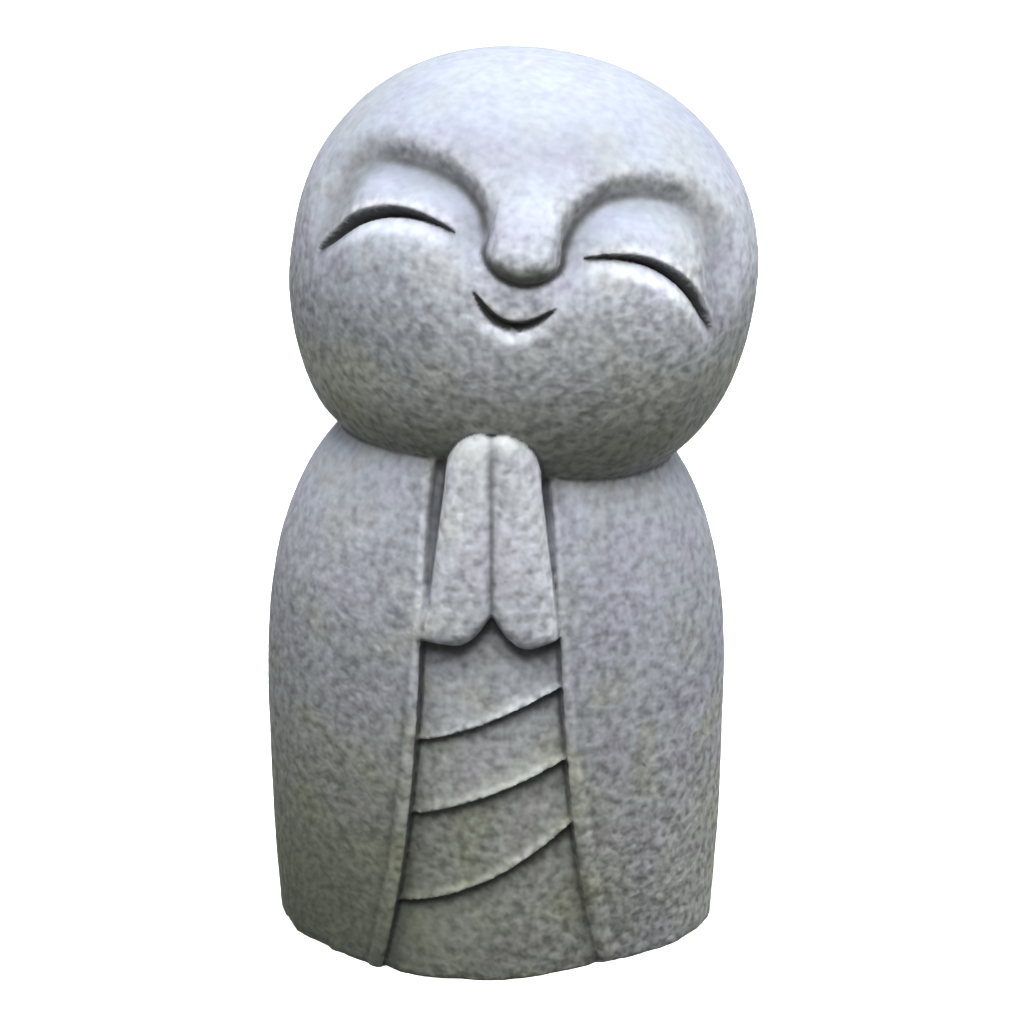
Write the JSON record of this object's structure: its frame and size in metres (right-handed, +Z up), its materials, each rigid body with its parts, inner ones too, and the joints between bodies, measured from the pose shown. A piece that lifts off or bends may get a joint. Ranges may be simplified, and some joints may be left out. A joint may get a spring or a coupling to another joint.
{
  "type": "stone jizo statue",
  "caption": "Standing stone jizo with a large, round, tilted head, closed smiling eyes and hands pressed together, on a flat base.",
  "frame": {"origin": "middle of the flat base, where the statue meets what it stands on", "axes": "+Z up through the robe, the robe's front faces -Y, +X to the right of someone who looks at the face"},
  "size_m": [0.1619, 0.1388, 0.2991],
  "materials": {
    "stone": "picked grey granite, weathered, with darker grooves"
  },
  "bodies": {
    "root": {"statue": "stone"}
  },
  "joints": []
}
